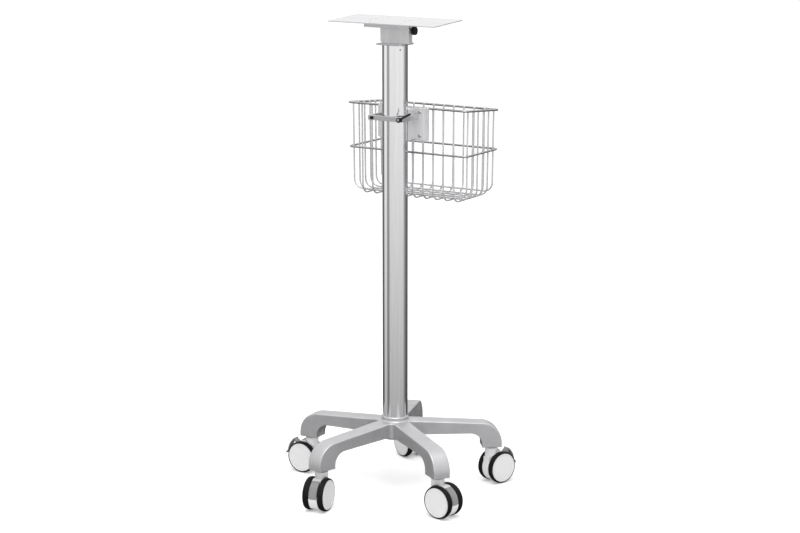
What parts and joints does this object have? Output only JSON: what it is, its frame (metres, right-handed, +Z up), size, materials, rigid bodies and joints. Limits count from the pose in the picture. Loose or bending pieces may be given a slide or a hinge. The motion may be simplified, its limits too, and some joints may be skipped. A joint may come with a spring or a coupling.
{
  "type": "medical roll stand",
  "caption": "Wheeled roll stand with star base, round column, tilting device plate and height-adjustable wire basket.",
  "frame": {"origin": "on the floor, under the middle of the stand's outline", "axes": "+Z up, +X along the device plate to the side of the tilt knob, -Y the front, the basket at +Y"},
  "size_m": [0.5118, 0.5011, 1.0195],
  "materials": {
    "cast_aluminium": "satin painted casting",
    "brushed_aluminium": "fine brushed",
    "steel": "zinc plated",
    "basket_wire": "satin plated wire",
    "light_plastic": "moulded, light grey",
    "grey_plastic": "moulded, mid grey",
    "tyre_rubber": "soft tread",
    "dark_plastic": "moulded, black"
  },
  "bodies": {
    "stand": {"star_base": "cast_aluminium", "caster_stems": "steel", "column": "brushed_aluminium", "column_plug": "steel", "column_bolt": "steel", "column_washer": "steel", "top_collar": "brushed_aluminium", "collar_set_screw": "steel", "box_bracket": "brushed_aluminium", "bracket_screws": "steel", "tilt_pin": "steel", "knob_washer": "steel"},
    "tilt_head": {"tilt_tongue": "brushed_aluminium", "channel_strip": "brushed_aluminium", "top_plate": "brushed_aluminium", "plate_screws": "steel"},
    "knob": {"clamp_knob": "dark_plastic"},
    "basket": {"basket_rim": "basket_wire", "basket_ring": "basket_wire", "basket_cross_wires": "basket_wire", "basket_long_wires": "basket_wire", "spacer_bar": "basket_wire", "mounting_plate": "brushed_aluminium", "column_saddle": "brushed_aluminium", "saddle_screws": "steel", "clamp_arms": "brushed_aluminium", "clamp_bar": "brushed_aluminium", "clamp_screw": "dark_plastic"},
    "lever": {"clamp_lever": "dark_plastic", "clamp_stud": "steel"},
    "back_right_caster": {"back_right_caster_hood": "light_plastic", "back_right_caster_panel": "grey_plastic", "back_right_brake_pin": "steel"},
    "back_right_wheels": {"back_right_caster_axle": "steel", "back_right_caster_wheels": "light_plastic", "back_right_caster_tyres": "tyre_rubber"},
    "back_right_brake": {"back_right_brake_pedal": "grey_plastic"},
    "back_caster": {"back_caster_hood": "light_plastic", "back_caster_panel": "grey_plastic"},
    "back_wheels": {"back_caster_axle": "steel", "back_caster_wheels": "light_plastic", "back_caster_tyres": "tyre_rubber"},
    "left_caster": {"left_caster_hood": "light_plastic", "left_caster_panel": "grey_plastic", "left_brake_pin": "steel"},
    "left_wheels": {"left_caster_axle": "steel", "left_caster_wheels": "light_plastic", "left_caster_tyres": "tyre_rubber"},
    "left_brake": {"left_brake_pedal": "grey_plastic"},
    "front_caster": {"front_caster_hood": "light_plastic", "front_caster_panel": "grey_plastic"},
    "front_wheels": {"front_caster_axle": "steel", "front_caster_wheels": "light_plastic", "front_caster_tyres": "tyre_rubber"},
    "right_caster": {"right_caster_hood": "light_plastic", "right_caster_panel": "grey_plastic"},
    "right_wheels": {"right_caster_axle": "steel", "right_caster_wheels": "light_plastic", "right_caster_tyres": "tyre_rubber"}
  },
  "joints": [
    {"name": "back_right_swivel", "type": "hinge", "parent": "stand", "child": "back_right_caster", "pos_m": [0.1895, 0.14168, 0.08], "axis": [0, 0, 1], "continuous": true},
    {"name": "back_right_wheel_spin", "type": "hinge", "parent": "back_right_caster", "child": "back_right_wheels", "pos_m": [0.19484, 0.15676, 0.0355], "axis": [0.9426, -0.3338, 0], "continuous": true},
    {"name": "back_right_brake_press", "type": "hinge", "parent": "back_right_caster", "child": "back_right_brake", "pos_m": [0.20035, 0.17231, 0.06], "axis": [0.9426, -0.3338, 0], "range_deg": [-12, 0]},
    {"name": "back_swivel", "type": "hinge", "parent": "stand", "child": "back_caster", "pos_m": [-0.05157, 0.20672, 0.08], "axis": [0, 0, 1], "continuous": true},
    {"name": "back_wheel_spin", "type": "hinge", "parent": "back_caster", "child": "back_wheels", "pos_m": [-0.0657, 0.21424, 0.0355], "axis": [0.4695, 0.8829, 0], "continuous": true},
    {"name": "left_swivel", "type": "hinge", "parent": "stand", "child": "left_caster", "pos_m": [-0.18793, -0.00245, 0.08], "axis": [0, 0, 1], "continuous": true},
    {"name": "left_wheel_spin", "type": "hinge", "parent": "left_caster", "child": "left_wheels", "pos_m": [-0.20393, -0.00245, 0.0355], "axis": [0, 1, 0], "continuous": true},
    {"name": "left_brake_press", "type": "hinge", "parent": "left_caster", "child": "left_brake", "pos_m": [-0.22043, -0.00245, 0.06], "axis": [0, 1, 0], "range_deg": [-12, 0]},
    {"name": "front_swivel", "type": "hinge", "parent": "stand", "child": "front_caster", "pos_m": [-0.03113, -0.19677, 0.08], "axis": [0, 0, 1], "continuous": true},
    {"name": "front_wheel_spin", "type": "hinge", "parent": "front_caster", "child": "front_wheels", "pos_m": [-0.02813, -0.21248, 0.0355], "axis": [-0.9823, -0.1874, 0], "continuous": true},
    {"name": "right_swivel", "type": "hinge", "parent": "stand", "child": "right_caster", "pos_m": [0.20213, -0.10769, 0.08], "axis": [0, 0, 1], "continuous": true},
    {"name": "right_wheel_spin", "type": "hinge", "parent": "right_caster", "child": "right_wheels", "pos_m": [0.21787, -0.11058, 0.0355], "axis": [-0.1805, -0.9836, 0], "continuous": true},
    {"name": "plate_tilt", "type": "hinge", "parent": "stand", "child": "tilt_head", "pos_m": [0.0242, 0.0083, 0.9965], "axis": [1, 0, 0], "range_deg": [-9, 7]},
    {"name": "knob_turn", "type": "hinge", "parent": "stand", "child": "knob", "pos_m": [0.0692, 0.0083, 0.9965], "axis": [1, 0, 0], "range_deg": [0, 360]},
    {"name": "basket_height", "type": "slide", "parent": "stand", "child": "basket", "axis": [0, 0, 1], "range_m": [-0.4, 0.1]},
    {"name": "lever_turn", "type": "hinge", "parent": "basket", "child": "lever", "pos_m": [0.0562, -0.0267, 0.813], "axis": [0, -1, 0], "range_deg": [0, 150]}
  ]
}
